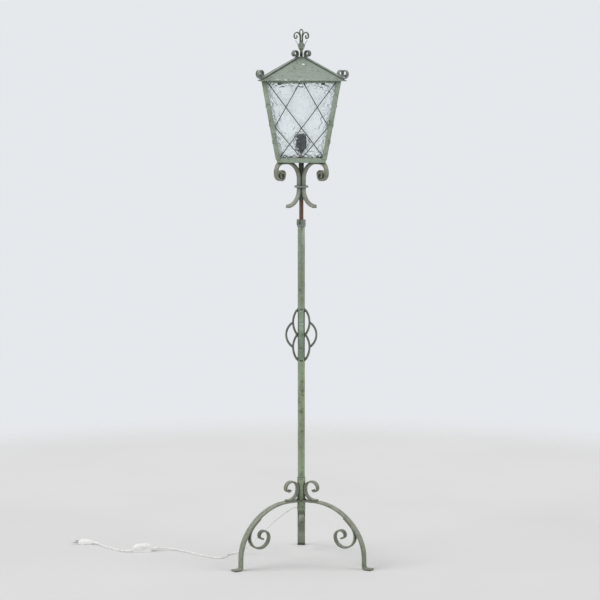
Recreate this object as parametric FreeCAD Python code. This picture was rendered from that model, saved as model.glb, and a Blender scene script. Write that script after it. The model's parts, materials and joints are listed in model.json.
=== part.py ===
import FreeCAD, Part
import math
import os
from FreeCAD import Vector

# A wrought-iron floor lamp with a lantern on top. Millimetres, +Z up, the front looks along -Y.
# The origin is the point of the floor under the axis of the post.

UP = Vector(0, 0, 1)
ORIGIN = Vector(0, 0, 0)

# Clearances
weld_bite = 0.4            # how far a welded bar is let into the round it is welded to
weld_gap = 0.1             # between neighbours that one weld joins
body_gap = 0.3             # between bodies that rest on or pass each other
running_clearance = 0.05   # radial, on what slides or turns
spare = 1                  # how far a cutting shape runs past the face that it cuts

# Base: three bent flat-bar legs
leg_azimuths = {"rear": 90, "left": 212, "right": 332}
leg_width = 24
leg_thickness = 5
hub_height = 195           # top face of the legs at the hub
leg_reach = 218.5          # outer face of a leg's upright part
shoulder_radius = 163
flank_radius = 182
shin_radius = 145
leg_arc_turn = 30
foot_radius = 9
foot_flat = 12
toe_radius = 14
toe_turn = 26

# Base: scrolls of a narrower bar
scroll_width = 16
scroll_thickness = 5
inner_seat_share = 0.27    # where the scroll meets the flank of the leg, as a share of that arc
inner_seat_end = 0.67
inner_scroll_arcs = [(46, -40), (36, -90), (32, -90), (20, -90), (14, -90), (9, -75), (7, 0)]
top_seat_turn = 2.5
top_scroll_sweep = 30      # radius of the arc that rises from the leg to the sleeve
top_scroll_rise = 5
top_scroll_arcs = [(22, -90), (20, -90), (9.5, -90), (6.5, -75)]

# Post
pole_radius = 11
pole_wall = 2
pole_bottom = hub_height - 34
sleeve_wall = 1.5
sleeve_bottom = hub_height - 35
sleeve_top = hub_height + 70

# Ornament half way up the post
cage_bottom = 629.5
cage_height = 153.5
cage_width = 14
cage_thickness = 6
cage_bend_radius = 5
cage_bend_turn = 33
cage_span = 76             # height between the ends of an outer bow
cage_reach = 46            # centreline of an outer bow at its widest

# Collar and its thumb screw
collar_bottom = 1036.7
collar_height = 21
collar_radius = 13.4
collar_seat = 9            # depth of the pole in the collar
screw_azimuth = 240
screw_radius = 3
screw_neck = 3
thumb_length = 11
thumb_height = 18
thumb_thickness = 2.6
thumb_corner = 3.9
thumb_root = 1             # how far the thumb piece overlaps the screw's neck

# Rod that slides in the post
rod_radius = 6.5
rod_wall = 1.5
rod_bottom = 650
guide_height = 30
guide_clearance = 0.06

# Lantern carrier
socket_wall = 1.45
socket_bottom = 1119
bracket_width = 15
bracket_thickness = 5
bracket_neck_radius = 50   # arc from under the floor down to the socket
bracket_neck_length = 30   # straight part of the neck, down to where the feet start to flare
bracket_flare_radius = 52
bracket_flare_turn = 80
bracket_toe = 6
bracket_run = 81           # where the run under the floor ends and the volute starts
bracket_volute_moves = [(26, -90), (4, 0), (20, -90), (12, -90), (10, -90), (8.5, -90), (6.5, -80)]
ring_rise = 8              # the ring's height above the start of the flare
ring_wire_radius = 3.4

# Lantern box
box_bottom = 1232.5
box_bottom_half = 74.5
box_top = 1474
box_top_half = 117.5
frame_rise = 12            # posts and top rail reach up to the roof, at most this far above box_top
post_leg = 14.5
post_wall = 2
post_bottom = 1242
rail_height = 14.5
rail_wall = 3
top_rail_drop = 4          # lower edge of the top rail, below box_top
floor_thickness = 2
wire_radius = 1.3
glass_thickness = 3
glass_top = 1472
clip_width = 12
clip_thickness = 1.2
clip_height = 8
clip_rise = 1              # of a top clip's hook above the wires
clip_spacing = 0.55        # of the pane's half width
lattice_top_reach = 103    # half width between the crossed wires at the top rail
lattice_foot_reach = 67.5
lattice_side_reach = 79.5
lattice_side_height = 1340
lattice_peak_gap = 3.5
lattice_bend = 6
lattice_shift = 1          # the grilles sit a little to one side of the middle

# Lamp holder
nipple_radius = 5
nipple_bore = 3.5
nipple_seat = 24           # length of the nipple inside the rod
nipple_stand = 2           # its height above the holder's neck
washer_radius = 12
washer_height = 1.5
nut_flats = 14
nut_height = 4
holder_bottom = 1259
holder_neck = 6
holder_neck_radius = 8
holder_cap_height = 16
holder_rim = 4             # height of the cap's straight rim
holder_cap_wall = 1
holder_radius = 19
holder_wall = 1.5
holder_top = 1320
insulator_height = 12
insulator_bore = 3
socket_bore_radius = 13.3
screw_shell_wall = 0.5
screw_shell_height = 25
contact_radius = 4
contact_height = 2
contact_depth = 6

# Roof
eave_half = 130
eave_rise = 2.7            # upper edge of the eave above box_top
roof_rise = 75             # apex above the eave
roof_turn = 2              # the roof lies a little turned on the box, degrees
roof_sheet_thickness = 1.5
strap_width = 10
strap_thickness = 3
apex_start = 25            # where a hip strap leaves the ridge for the apex volute
apex_volute_arcs = [(14, -67.6), (10, -90), (9, -90), (7, -90), (5, -90)]
corner_start = 168         # where it leaves the ridge for the corner volute
corner_volute_arcs = [(13, 112.4), (10.5, 90), (9.5, 90), (8, 90), (5, 90)]
lug_width = 20
lug_thickness = 2
lug_depth = 9.5            # how far a lug reaches down inside the top rail

# Finial
stem_radius = 4.5
stem_rise = 14.3           # the stem's height above the roof's apex
cup_seat_radius = 7.6
cup_seat_height = 5
stud_radius = 3
stud_length = 14
finial_nut_flats = 10
finial_nut_height = 5
finial_nut_crown = 4       # the nut's top is cut to the roof's underside, this far below the apex at most
leaf_thickness = 1.5
leaf_foot_radius = 6.7
leaf_slope = 74
leaf_straight = 14
leaf_sink = 1              # a leaf starts this far below the cup's rim
leaf_curl = (30, -28)
leaf_foot_half = 4.2
leaf_half = 8.8
leaf_widest = 14
leaf_height = 26
leaf_flank_bulge = 0.6
leaf_point_share = 0.45    # width half way from the widest place to the tip, as a share of the widest
finial_wire_radius = 1.75
finial_scroll_radius = 5.2
finial_scroll_arcs = [(33, 0), (18, -40), (13, -50), (11, -90), (7, -90), (5, -90), (4, -60)]
loop_half_gap = 2.4
loop_rise = 38
loop_flare = (20, -25)
loop_shoulder = (9, 70)
loop_tip_radius = 2.4

# Mains lead
cord_radius = 2.5
cord_azimuth = 154         # the side on which it leaves the hub
cord_exit_height = hub_height - 26
bush_flange_radius = 4.4
bush_body_radius = 3.6
bush_flange = 2.6
bush_inside = 5
flex_bend = 9              # where the flex turns up inside the post
flex_sway = 60             # radius of the two arcs that bring it to the axis
flex_straight = 100
flex_travel = 47           # the rod's own flex starts this far above the rod's lower end

# Switch in the lead. Its +X end is the low one, towards the plug.
switch_centre = Vector(-503.5, 128, 0)
switch_azimuth = 193.5
switch_length = 57
switch_width = 30
switch_height = 24
switch_split = 8
switch_taper = 20
switch_tip_width = 14
switch_tip_height = 10.5
switch_tip_bulge = 4       # how far the sloping end stands proud of a straight slope
switch_entry_high = 10     # height of the lead at the tall end
switch_entry_low = 6
rocker_at = -5
rocker_length = 16
rocker_foot = 13
rocker_width = 9
rocker_tilt = 6
rocker_proud = 0.5
pivot_depth = 2.5
rocker_drop = 3
axle_radius = 1.2
axle_reach = 1.5

# Two-pin plug
plug_rear = Vector(-668, 226, 0)
plug_azimuth = 165
plug_length = 42
plug_grip = 24
plug_waist = 10.8
plug_waist_flare = 1.5
plug_face_width = 35.3
plug_rear_width = 12
plug_height = 13.7
pin_radius = 2
pin_length = 19
pin_spacing = 19

# The route of the lead from the hub to the switch, then from the switch to the plug. The end points
# and the point beside each of them are worked out below from the bush, the switch and the plug.
exit_run = 11.3
entry_run = 18
tail_run = 12.6
plug_run = 14.4
arc_share = 0.45           # of the shorter run beside a corner, taken by the arc there
# The hanging stretch, below the exit: distance from the post's axis, share of the exit's height
hanging_points = [(44, 0.925), (80, 0.775), (134, 0.473), (172, 0.246), (195.5, 0.121), (211, 0.056)]
lead_points = [(-204, 97.5, 4.2), (-217.5, 95, 2.5), (-228, 85, 2.5), (-233.5, 70, 2.5),
               (-236.5, 54, 2.5), (-243, 40.5, 2.5), (-256.5, 34, 2.5), (-273, 40, 2.5),
               (-295, 58, 2.5), (-327, 86, 2.5), (-361, 119, 2.5), (-390, 140, 3.4),
               (-418, 147, 6), (-441, 144, 8.5)]
tail_points = [(-558, 121, 3.4), (-570, 132, 2.5), (-588, 151, 2.5), (-608, 171, 2.5),
               (-627, 191, 2.5), (-640, 207, 4)]


def ahead(heading):
    return Vector(math.cos(math.radians(heading)), 0, math.sin(math.radians(heading)))


def left(heading):
    return ahead(heading + 90)


# A path lies in the XZ plane. Each of its steps is (start, heading, size, turn): a straight run of
# that length where the turn is 0, else an arc of that radius, to the left where the turn is positive.
def spot(step, share, offset=0):
    start, heading, size, turn = step
    if turn == 0:
        return start + ahead(heading) * (size * share) + left(heading) * offset
    radius = math.copysign(size, turn)
    centre = start + left(heading) * radius
    return centre + left(heading + turn * share) * (offset - radius)


def walk(start, heading, moves):
    path = []
    for size, turn in moves:
        path.append((start, heading, size, turn))
        start = spot(path[-1], 1)
        heading += turn
    return path


def backwards(path):
    return [(spot(step, 1), step[1] + step[3] + 180, step[2], -step[3]) for step in reversed(path)]


def straight(first, last):
    return Part.LineSegment(first, last).toShape()


def step_edge(step, offset=0):
    if step[3] == 0:
        return straight(spot(step, 0, offset), spot(step, 1, offset))
    return Part.Arc(spot(step, 0, offset), spot(step, 0.5, offset), spot(step, 1, offset)).toShape()


# A flat bar bent along a path, its width along Y
def bent_bar(path, thickness, width):
    half = thickness / 2
    edges = [step_edge(step, half) for step in path]
    edges.append(straight(spot(path[-1], 1, half), spot(path[-1], 1, -half)))
    edges += [step_edge(step, -half) for step in reversed(path)]
    edges.append(straight(spot(path[0], 0, -half), spot(path[0], 0, half)))
    bar = Part.Face(Part.Wire(Part.__sortEdges__(edges))).extrude(Vector(0, width, 0))
    bar.translate(Vector(0, -width / 2, 0))
    return bar


# A round wire or tube along joined edges
def piped(edges, radius):
    spine = Part.Wire(edges)
    first = edges[0].valueAt(edges[0].FirstParameter)
    tangent = edges[0].tangentAt(edges[0].FirstParameter)
    outline = Part.Wire(Part.makeCircle(radius, first, tangent))
    return spine.makePipeShell([outline], True, False)


def bent_wire(path, radius):
    return piped([step_edge(step) for step in path], radius)


# Straight runs between points, joined by tangent arcs. An arc's radius is a share of the shorter run
# over the tangent of half the turn, unless a radius is given.
def rounded_route(points, radius=None):
    edges = []
    radii = []
    last = points[0]
    for before, corner, after in zip(points, points[1:], points[2:]):
        back = (before - corner).normalize()
        forth = (after - corner).normalize()
        half_turn = (math.pi - back.getAngle(forth)) / 2
        run = min((before - corner).Length, (after - corner).Length)
        reach = arc_share * run if radius is None else radius * math.tan(half_turn)
        radii.append(reach / math.tan(half_turn))
        arc_start = corner + back * reach
        arc_end = corner + forth * reach
        centre = corner + (back + forth).normalize() * (radii[-1] / math.cos(half_turn))
        middle = centre + (corner - centre).normalize() * radii[-1]
        edges.append(straight(last, arc_start))
        edges.append(Part.Arc(arc_start, middle, arc_end).toShape())
        last = arc_end
    edges.append(straight(last, points[-1]))
    return edges, radii


def turned(shape, azimuth):
    copy = shape.copy()
    copy.rotate(ORIGIN, UP, azimuth)
    return copy


def upright(radius, bottom, top):
    return Part.makeCylinder(radius, top - bottom, Vector(0, 0, bottom))


def ring(outer, inner, bottom, top):
    return upright(outer, bottom, top).cut(upright(inner, bottom - spare, top + spare))


def hexagon(flats, bottom, height):
    corners = [turned(Part.Vertex(flats / math.sqrt(3), 0, bottom), 60 * k).Point for k in range(7)]
    return Part.Face(Part.makePolygon(corners)).extrude(UP * height)


def lathe(profile):
    points = [Vector(r, 0, z) for r, z in profile + profile[:1]]
    return Part.Face(Part.makePolygon(points)).revolve(ORIGIN, UP, 360)


def write(name, *solids):
    shape = solids[0] if len(solids) == 1 else Part.makeCompound(list(solids))
    shape.exportStep("parts/" + name + ".step")
    print(name, len(solids), "solids", round(sum(solid.Volume for solid in solids)), "mm3")


def single(shape):
    return max(shape.Solids, key=lambda solid: solid.Volume)


# Base
sleeve_bore = pole_radius + running_clearance
sleeve_radius = sleeve_bore + sleeve_wall


def leg_path():
    turns = [math.radians(leg_arc_turn * k) for k in range(3)] + [math.pi / 2]
    radii = [shoulder_radius, flank_radius, shin_radius]
    reach = sum(r * (math.sin(b) - math.sin(a)) for r, a, b in zip(radii, turns, turns[1:]))
    drop = sum(r * (math.cos(a) - math.cos(b)) for r, a, b in zip(radii, turns, turns[1:]))
    hub_run = leg_reach - leg_thickness / 2 - reach
    shin = hub_height - leg_thickness - drop - foot_radius
    arcs = [(r, -math.degrees(b - a)) for r, a, b in zip(radii, turns, turns[1:])]
    foot = [(shin, 0), (foot_radius, 90), (foot_flat, 0), (toe_radius, toe_turn)]
    return walk(Vector(0, 0, hub_height - leg_thickness / 2), 0, [(hub_run, 0)] + arcs + foot)


def hub_wedge():
    azimuths = sorted(leg_azimuths.values())
    between = [b - a for a, b in zip(azimuths, azimuths[1:] + [azimuths[0] + 360])]
    half_angle = math.radians(min(between) / 2)
    far = 2 * leg_reach
    tip = Vector(weld_gap / 2 / math.sin(half_angle), 0, 0)
    side = Vector(far, far * math.tan(half_angle), 0)
    corners = [tip, side, Vector(side.x, -side.y, 0), tip]
    return Part.Face(Part.makePolygon(corners)).extrude(UP * 2 * hub_height)


def make_legs():
    path = leg_path()
    bar = bent_bar(path, leg_thickness, leg_width).common(hub_wedge())
    bar = single(bar.cut(upright(sleeve_radius, 0, sleeve_top)))
    for side, azimuth in leg_azimuths.items():
        write("leg_" + side, turned(bar, azimuth))
    flat = spot(path[6], 0.5)
    print("foot patch centre radius", round(flat.x, 2), "end of toe", round(spot(path[7], 1).x, 2))


def make_inner_scrolls():
    flank = leg_path()[2]
    offset = -(leg_thickness + scroll_thickness) / 2
    start = spot(flank, inner_seat_share, offset)
    heading = flank[1] + flank[3] * inner_seat_share
    seat = (flank[2] + offset, flank[3] * (inner_seat_end - inner_seat_share))
    scroll = bent_bar(walk(start, heading, [seat] + inner_scroll_arcs), scroll_thickness, scroll_width)
    for side, azimuth in leg_azimuths.items():
        write("inner_scroll_" + side, turned(scroll, azimuth))


def make_top_scrolls():
    hub_run, shoulder = leg_path()[:2]
    offset = (leg_thickness + scroll_thickness) / 2
    share = top_seat_turn / abs(shoulder[3])
    start = spot(shoulder, share, offset)
    upright_at = sleeve_radius - weld_bite + scroll_thickness / 2
    seat = [(shoulder[2] + offset, top_seat_turn), (hub_run[2] - top_scroll_sweep - upright_at, 0)]
    rise = [(top_scroll_sweep, -90), (top_scroll_rise, 0)]
    path = walk(start, 180 - top_seat_turn, seat + rise + top_scroll_arcs)
    scroll = bent_bar(path, scroll_thickness, scroll_width)
    scroll = single(scroll.cut(upright(sleeve_radius, 0, sleeve_top)))
    for side, azimuth in leg_azimuths.items():
        write("top_scroll_" + side, turned(scroll, azimuth))


# A round hole towards the side on which the lead leaves
def cord_hole(radius):
    hole = Part.makeCylinder(radius, 2 * sleeve_radius, Vector(0, 0, cord_exit_height), Vector(1, 0, 0))
    return turned(hole, cord_azimuth)


def make_post():
    sleeve = ring(sleeve_radius, sleeve_bore, sleeve_bottom, sleeve_top)
    write("base_sleeve", sleeve.cut(cord_hole(bush_body_radius)))
    pole = ring(pole_radius, pole_radius - pole_wall, pole_bottom, collar_bottom + collar_seat)
    write("pole_tube", pole.cut(cord_hole(bush_body_radius)))


# Ornament
def make_cage():
    bend = math.radians(cage_bend_turn)
    bow = cage_height / (4 * math.sin(bend)) - cage_bend_radius
    axis_at = pole_radius - weld_bite + cage_thickness / 2
    curls = [(cage_bend_radius, cage_bend_turn), (bow, -2 * cage_bend_turn),
             (cage_bend_radius, 2 * cage_bend_turn), (bow, -2 * cage_bend_turn),
             (cage_bend_radius, cage_bend_turn)]
    inner_path = walk(Vector(axis_at, 0, cage_bottom + cage_height), -90, curls)
    inner = bent_bar(inner_path, cage_thickness, cage_width)
    crest = spot(inner_path[1], 0.5).x
    middle = cage_bottom + cage_height / 2
    rise = cage_reach - crest
    outer_radius = ((cage_span / 2) ** 2 + rise ** 2) / (2 * rise)
    half_turn = math.degrees(math.asin(cage_span / 2 / outer_radius))
    start = Vector(crest, 0, middle + cage_span / 2)
    outer_path = walk(start, half_turn - 90, [(outer_radius, -2 * half_turn)])
    outer = single(bent_bar(outer_path, cage_thickness, cage_width).cut(inner))
    inner = single(inner.cut(upright(pole_radius, 0, collar_bottom)))
    for side, azimuth in {"right": 0, "rear": 90, "left": 180, "front": 270}.items():
        write("ornament_" + side, turned(inner, azimuth), turned(outer, azimuth))


# Collar, thumb screw and rod
rod_bore_radius = rod_radius - rod_wall
screw_height = collar_bottom + (collar_height + collar_seat) / 2


def make_collar():
    top = collar_bottom + collar_height
    collar = ring(collar_radius, rod_radius + running_clearance, collar_bottom, top)
    collar = collar.cut(upright(pole_radius, collar_bottom - spare, collar_bottom + collar_seat))
    bore = Part.makeCylinder(screw_radius + running_clearance, 2 * collar_radius,
                             Vector(0, 0, screw_height), Vector(1, 0, 0))
    write("pole_collar", collar.cut(turned(bore, screw_azimuth)))


def make_clamp_screw():
    tip = rod_radius + body_gap
    neck_start = collar_radius + body_gap
    neck_end = neck_start + screw_neck
    shank = Part.makeCylinder(screw_radius, neck_end - tip, Vector(tip, 0, screw_height), Vector(1, 0, 0))
    thumb = Part.makeBox(thumb_length, thumb_thickness, thumb_height)
    thumb.translate(Vector(neck_end - thumb_root, -thumb_thickness / 2, screw_height - thumb_height / 2))
    corners = [edge for edge in thumb.Edges if abs(edge.tangentAt(0).y) > 0.9]
    thumb = thumb.makeFillet(thumb_corner, corners)
    write("clamp_screw", turned(shank.fuse(thumb).removeSplitter(), screw_azimuth))


def make_rod():
    top = box_bottom - body_gap
    write("rod_tube", ring(rod_radius, rod_bore_radius, rod_bottom, top))
    outer = pole_radius - pole_wall - guide_clearance
    write("rod_guide", ring(outer, rod_radius, rod_bottom, rod_bottom + guide_height))
    nipple_top = holder_bottom + holder_neck + nipple_stand
    write("nipple", ring(nipple_radius, nipple_bore, top - nipple_seat, nipple_top))
    washer_bottom = box_bottom + floor_thickness + body_gap
    nut_bottom = washer_bottom + washer_height
    write("washer", ring(washer_radius, nipple_radius, washer_bottom, nut_bottom))
    nut_bore = upright(nipple_radius, nut_bottom - spare, nut_bottom + nut_height + spare)
    write("locknut", hexagon(nut_flats, nut_bottom, nut_height).cut(nut_bore))


def make_holder():
    neck_top = holder_bottom + holder_neck
    cap_top = holder_bottom + holder_cap_height
    rim_bottom = cap_top - holder_rim
    inner = holder_radius - holder_wall
    ceiling = neck_top + holder_cap_wall
    cap = lathe([(nipple_radius, holder_bottom), (holder_neck_radius, holder_bottom),
                 (holder_neck_radius, neck_top), (holder_radius, rim_bottom), (holder_radius, cap_top),
                 (inner, cap_top), (inner, rim_bottom), (holder_neck_radius - holder_cap_wall, ceiling),
                 (nipple_radius, ceiling)])
    write("holder_cap", cap)
    write("holder_shell", ring(holder_radius, inner, cap_top, holder_top))
    floor = cap_top
    seat = floor + insulator_height
    contact = upright(contact_radius, seat - contact_height, seat)
    write("holder_insulator", ring(inner, insulator_bore, floor, seat).cut(contact))
    shell = ring(socket_bore_radius + screw_shell_wall, socket_bore_radius, seat, seat + screw_shell_height)
    write("screw_shell", shell)
    stem = upright(insulator_bore, seat - contact_depth, seat)
    write("centre_contact", contact.fuse(stem).removeSplitter())


# Lantern carrier
def make_brackets():
    height = box_bottom - bracket_thickness / 2
    socket_radius = rod_radius + running_clearance + socket_wall
    neck_at = socket_radius - weld_bite + bracket_thickness / 2
    neck_start = neck_at + bracket_neck_radius
    flare = [(bracket_flare_radius, bracket_flare_turn), (bracket_toe, 0)]
    neck = [(bracket_neck_radius, 90), (bracket_neck_length, 0)] + flare
    start = Vector(neck_start, 0, height)
    run = [(bracket_run - neck_start, 0)] + bracket_volute_moves
    path = backwards(walk(start, 180, neck)) + walk(start, 0, run)
    bar = bent_bar(path, bracket_thickness, bracket_width)
    bar = single(bar.cut(upright(socket_radius, 0, box_bottom)))
    write("brackets", *[turned(bar, 45 + 90 * k) for k in range(4)])
    write("lantern_socket", ring(socket_radius, rod_radius + running_clearance, socket_bottom, box_bottom))
    corner = math.hypot(neck_at + bracket_thickness / 2, bracket_width / 2)
    ring_height = height - bracket_neck_radius - bracket_neck_length + ring_rise
    centre = Vector(0, 0, ring_height)
    write("bracket_ring", Part.makeTorus(corner + weld_gap + ring_wire_radius, ring_wire_radius, centre))


# Lantern box: four walls that lean outwards, so a size of the box is a function of the height
wall_slope = (box_top_half - box_bottom_half) / (box_top - box_bottom)
wall_cosine = math.cos(math.atan(wall_slope))
frame_top = box_top + frame_rise


def box_half(height):
    return box_bottom_half + (height - box_bottom) * wall_slope


def square(half, height):
    corners = [(half, half), (-half, half), (-half, -half), (half, -half), (half, half)]
    return Part.makePolygon([Vector(x, y, height) for x, y in corners])


def leaning_block(bottom, top, inset):
    return Part.makeLoft([square(box_half(z) - inset, z) for z in (bottom, top)], True, True)


# A slab parallel to the front wall, between two insets from it and two ends given by the height
def wall_slab(bottom, top, near, far, ends):
    outlines = []
    for z in (bottom, top):
        first, last = ends(z)
        front = near - box_half(z)
        back = far - box_half(z)
        corners = [(first, front), (last, front), (last, back), (first, back), (first, front)]
        outlines.append(Part.makePolygon([Vector(x, y, z) for x, y in corners]))
    return Part.makeLoft(outlines, True, True)


eave_height = box_top + eave_rise
apex_height = eave_height + roof_rise
roof_slope = roof_rise / eave_half
sheet_drop = roof_sheet_thickness * math.sqrt(1 + roof_slope ** 2)


# The pyramid under the roof's upper face, lowered, over a square of any half width
def roof_pyramid(lowered, half, bottom):
    apex = Vector(0, 0, apex_height - lowered)
    rim = [Vector(x * half, y * half, apex.z - half * roof_slope) for x, y in
           ((1, 1), (-1, 1), (-1, -1), (1, -1))]
    foot = [Vector(point.x, point.y, bottom) for point in rim]
    faces = [Part.Face(Part.makePolygon(foot + foot[:1]))]
    for k in range(4):
        after = (k + 1) % 4
        faces.append(Part.Face(Part.makePolygon([rim[k], rim[after], apex, rim[k]])))
        faces.append(Part.Face(Part.makePolygon([foot[k], foot[after], rim[after], rim[k], foot[k]])))
    return Part.makeSolid(Part.makeShell(faces))


rail_inset = post_wall
rail_back = rail_inset + rail_wall
wire_inset = rail_back + (wire_radius + weld_gap) / wall_cosine
glass_front = wire_inset + (wire_radius + weld_gap) / wall_cosine
glass_back = glass_front + glass_thickness / wall_cosine
floor_top = box_bottom + floor_thickness


def make_box_frame():
    under_roof = turned(roof_pyramid(sheet_drop + body_gap, eave_half, box_bottom), roof_turn)
    outlines = []
    for z in (post_bottom, frame_top):
        outer = box_half(z)
        wall = outer - post_wall
        end = outer - post_leg
        corners = [(outer, outer), (end, outer), (end, wall), (wall, wall), (wall, end), (outer, end)]
        outlines.append(Part.makePolygon([Vector(x, y, z) for x, y in corners + corners[:1]]))
    post = Part.makeLoft(outlines, True, True)
    write("posts", *[single(turned(post, 90 * k).common(under_roof)) for k in range(4)])
    for name, low, high in (("bottom_rail", box_bottom, box_bottom + rail_height),
                            ("top_rail", box_top - top_rail_drop, frame_top)):
        rail = leaning_block(low, high, rail_inset).cut(leaning_block(low, high, rail_back))
        write(name, single(rail.common(under_roof)))
    floor = leaning_block(box_bottom, floor_top, rail_back)
    hole = upright(nipple_radius + body_gap, box_bottom - spare, floor_top + spare)
    write("floor_plate", floor.cut(hole))


sides = {"front": 0, "right": 90, "rear": 180, "left": 270}


def wire_point(along, height):
    return Vector(along, wire_inset - box_half(height), height)


def make_lattices():
    head = box_top
    foot = box_bottom + rail_height - wire_radius
    cross = wire_point(-lattice_top_reach, head), wire_point(lattice_foot_reach, foot)
    bow = [wire_point(-lattice_peak_gap, head), wire_point(-lattice_side_reach, lattice_side_height),
           wire_point(0, foot)]
    wires = [piped([straight(*cross)], wire_radius), piped(rounded_route(bow, lattice_bend)[0], wire_radius)]
    mirrored = [wire.mirror(ORIGIN, Vector(1, 0, 0)) for wire in wires]
    grille = wires[0].fuse([mirrored[0], wires[1], mirrored[1]])
    grille.translate(Vector(lattice_shift, 0, 0))
    for side, azimuth in sides.items():
        write("lattice_" + side, turned(single(grille), azimuth))


def make_glass():
    def pane_ends(height):
        half = box_half(height) - glass_back - body_gap
        return -half, half

    pane = wall_slab(floor_top, glass_top, glass_front, glass_back, pane_ends)
    clips = []
    clip_front = glass_back + weld_gap
    clip_back = clip_front + clip_thickness
    for side in (-1, 1):
        def low_ends(height):
            middle = side * clip_spacing * box_bottom_half
            return middle - clip_width / 2, middle + clip_width / 2

        def high_ends(height):
            middle = side * clip_spacing * box_top_half
            return middle - clip_width / 2, middle + clip_width / 2

        clips.append(wall_slab(floor_top, floor_top + clip_height, clip_front, clip_back, low_ends))
        shelf_bottom = glass_top + weld_gap + wire_radius + clip_rise
        shelf_top = shelf_bottom + clip_thickness
        shelf = wall_slab(shelf_bottom, shelf_top, rail_back, clip_back, high_ends)
        tongue = wall_slab(glass_top - clip_height, shelf_top, clip_front, clip_back, high_ends)
        clips.append(single(shelf.fuse(tongue).removeSplitter()))
    everywhere = []
    for side, azimuth in sides.items():
        write("glass_" + side, turned(pane, azimuth))
        everywhere += [turned(clip, azimuth) for clip in clips]
    write("glass_clips", *everywhere)


# Roof
def make_roof():
    sheet = roof_pyramid(0, eave_half, eave_height - sheet_drop)
    hollow = roof_pyramid(sheet_drop, eave_half + spare, eave_height - 2 * sheet_drop - spare * roof_slope)
    sheet = single(sheet.cut(hollow)).cut(upright(stud_radius, eave_height, apex_height))
    write("roof_sheet", turned(sheet, roof_turn))
    ridge = roof_slope / math.sqrt(2)
    fall = math.degrees(math.atan(ridge))
    centre_height = (strap_thickness / 2 - weld_bite) / math.cos(math.radians(fall))
    start = Vector(apex_start, 0, apex_height - apex_start * ridge + centre_height)
    run = (corner_start - apex_start) / math.cos(math.radians(fall))
    up = walk(start, 180 - fall, apex_volute_arcs)
    down = walk(start, -fall, [(run, 0)] + corner_volute_arcs)
    strap = bent_bar(backwards(up) + down, strap_thickness, strap_width)
    outside = roof_pyramid(0, eave_half, box_top)
    straps = [single(turned(strap, 45 + 90 * k).cut(outside)) for k in range(4)]
    write("hip_straps", *[turned(piece, roof_turn) for piece in straps])
    inside = roof_pyramid(sheet_drop, eave_half, box_top)
    lug_bottom = frame_top - lug_depth
    lug_front = rail_back + body_gap + lug_width / 2 * math.sin(math.radians(roof_turn))

    def lug_ends(height):
        return -lug_width / 2, lug_width / 2

    lug = wall_slab(lug_bottom, apex_height, lug_front, lug_front + lug_thickness, lug_ends)
    lug = single(lug.common(inside))
    write("roof_lugs", *[turned(lug, roof_turn + azimuth) for azimuth in sides.values()])


# Finial
stem_top = apex_height + stem_rise
seat_top = stem_top + cup_seat_height


def make_finial():
    stud_bottom = apex_height - stud_length
    roof = turned(roof_pyramid(0, eave_half, box_bottom), roof_turn)
    stem = single(upright(stem_radius, eave_height, stem_top).cut(roof))
    stem = stem.fuse(upright(stud_radius, stud_bottom, stem_top))
    flare = Part.makeCone(stem_radius, cup_seat_radius, cup_seat_height, Vector(0, 0, stem_top))
    base = stem.fuse(flare).removeSplitter()
    path = walk(Vector(leaf_foot_radius, 0, seat_top - leaf_sink), leaf_slope, [(leaf_straight, 0), leaf_curl])
    leaf = bent_bar(path, leaf_thickness, 2 * leaf_half)
    foot = Vector(0, -leaf_foot_half, seat_top - 2 * leaf_sink)
    widest = Vector(0, -leaf_half, seat_top + leaf_widest)
    tip = Vector(0, 0, seat_top + leaf_height)
    flank = Vector(0, -(leaf_foot_half + leaf_half) / 2 - leaf_flank_bulge, seat_top + leaf_widest / 2)
    point = Vector(0, -leaf_half * leaf_point_share, seat_top + (leaf_widest + leaf_height) / 2)
    half = [Part.Arc(foot, flank, widest).toShape(), Part.Arc(widest, point, tip).toShape()]
    other = [edge.mirror(ORIGIN, Vector(0, 1, 0)) for edge in half]
    base_line = straight(foot, Vector(0, leaf_foot_half, foot.z))
    outline = Part.Wire(Part.__sortEdges__(half + other + [base_line]))
    blade = leaf.common(Part.Face(outline).extrude(Vector(2 * leaf_height, 0, 0)))
    blade = single(blade.cut(flare))
    write("finial_cup", base, *[turned(blade, roof_turn + 90 * k) for k in range(4)])

    scroll_path = walk(Vector(finial_scroll_radius, 0, seat_top), 90, finial_scroll_arcs)
    scroll = bent_wire(scroll_path, finial_wire_radius)
    shoulder = [(loop_rise, 0), loop_flare, loop_shoulder]
    rise = walk(Vector(loop_half_gap, 0, seat_top), 90, shoulder)
    lean = (spot(rise[-1], 1).x - loop_tip_radius * math.sin(math.pi / 4)) * math.sqrt(2)
    loop = shoulder + [(lean, 0), (loop_tip_radius, 90), (lean, 0)] + shoulder[::-1]
    hairpin = bent_wire(walk(Vector(loop_half_gap, 0, seat_top), 90, loop), finial_wire_radius)
    scrolls = [turned(scroll, roof_turn + 45 + 90 * k) for k in range(4)]
    write("finial_wires", turned(hairpin, roof_turn), *scrolls)

    top = apex_height - sheet_drop
    inside = turned(roof_pyramid(sheet_drop, eave_half, box_bottom), roof_turn)
    nut_height = finial_nut_height + finial_nut_crown
    nut = single(hexagon(finial_nut_flats, top - nut_height, nut_height).common(inside))
    write("finial_nut", nut.cut(upright(stud_radius, top - nut_height - spare, top + spare)))


# Mains lead
cord_side = Vector(math.cos(math.radians(cord_azimuth)), math.sin(math.radians(cord_azimuth)), 0)
cord_exit = cord_side * (sleeve_radius + bush_flange) + UP * cord_exit_height


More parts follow.
